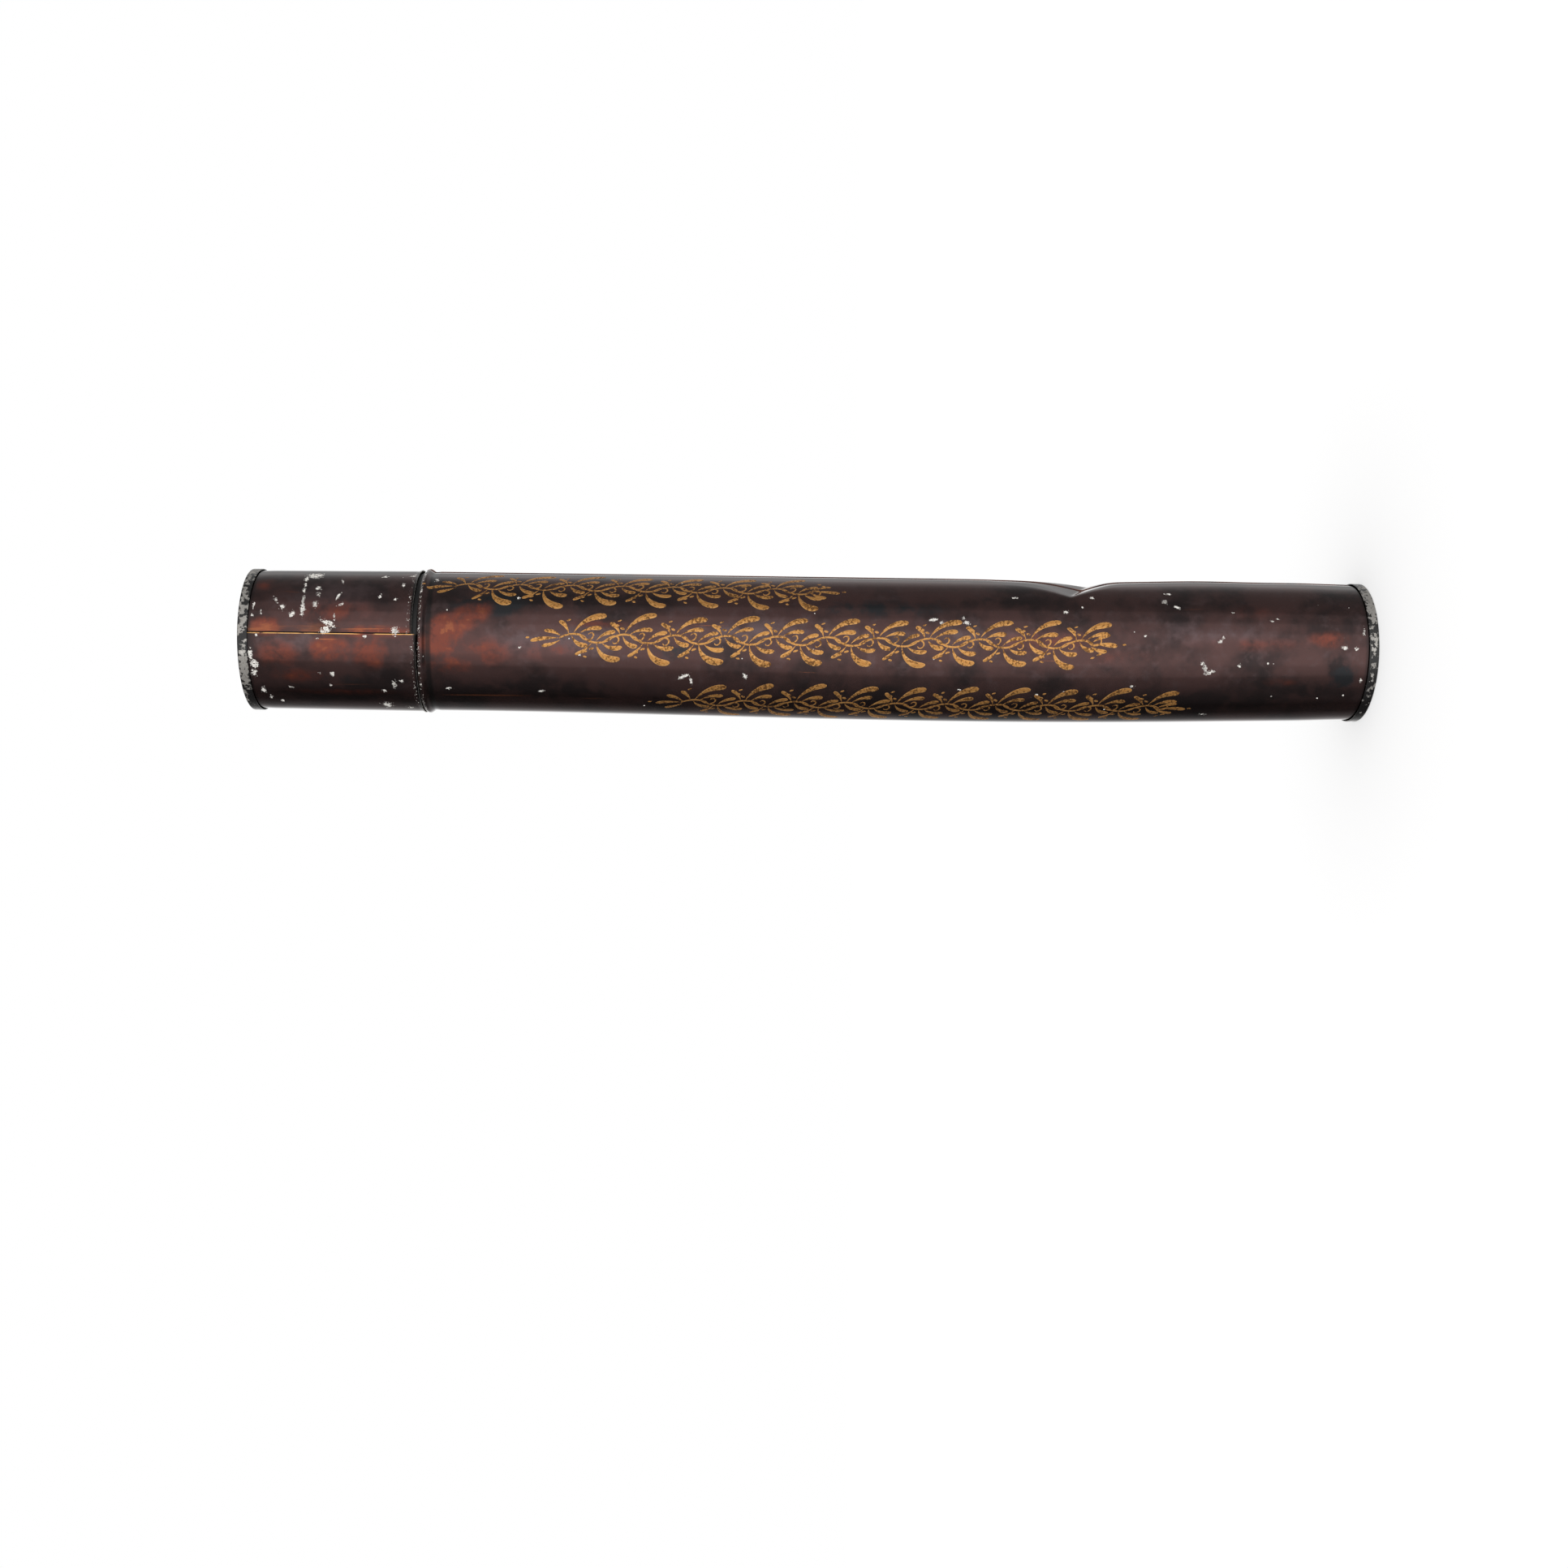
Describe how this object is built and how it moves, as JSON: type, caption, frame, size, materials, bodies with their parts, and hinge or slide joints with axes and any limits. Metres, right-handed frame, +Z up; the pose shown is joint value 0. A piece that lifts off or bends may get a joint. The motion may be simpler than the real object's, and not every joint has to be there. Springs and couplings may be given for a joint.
{
  "type": "document tube",
  "caption": "Slender round tinplate tube for rolled documents, closed by flat end discs, with a slip-on cap over an inner collar.",
  "frame": {"origin": "centre of the tube's flat bottom face", "axes": "+Z up along the tube towards the cap, +X towards the body's lap seam and dent, -Y towards the cap's lap seam"},
  "size_m": [0.0535, 0.0523, 0.4064],
  "materials": {
    "japanned_tin": "worn gloss japan",
    "worn_rim": "japan worn to the tin",
    "bare_tin": "dull bare tinplate"
  },
  "bodies": {
    "tube": {"body_tube": "japanned_tin", "inner_collar": "bare_tin", "bottom_disc": "worn_rim"},
    "cap": {"cap_sleeve": "japanned_tin", "cap_disc": "worn_rim"}
  },
  "joints": [
    {"name": "cap_slide", "type": "slide", "parent": "tube", "child": "cap", "axis": [0, 0, 1], "range_m": [0, 0.09]}
  ]
}
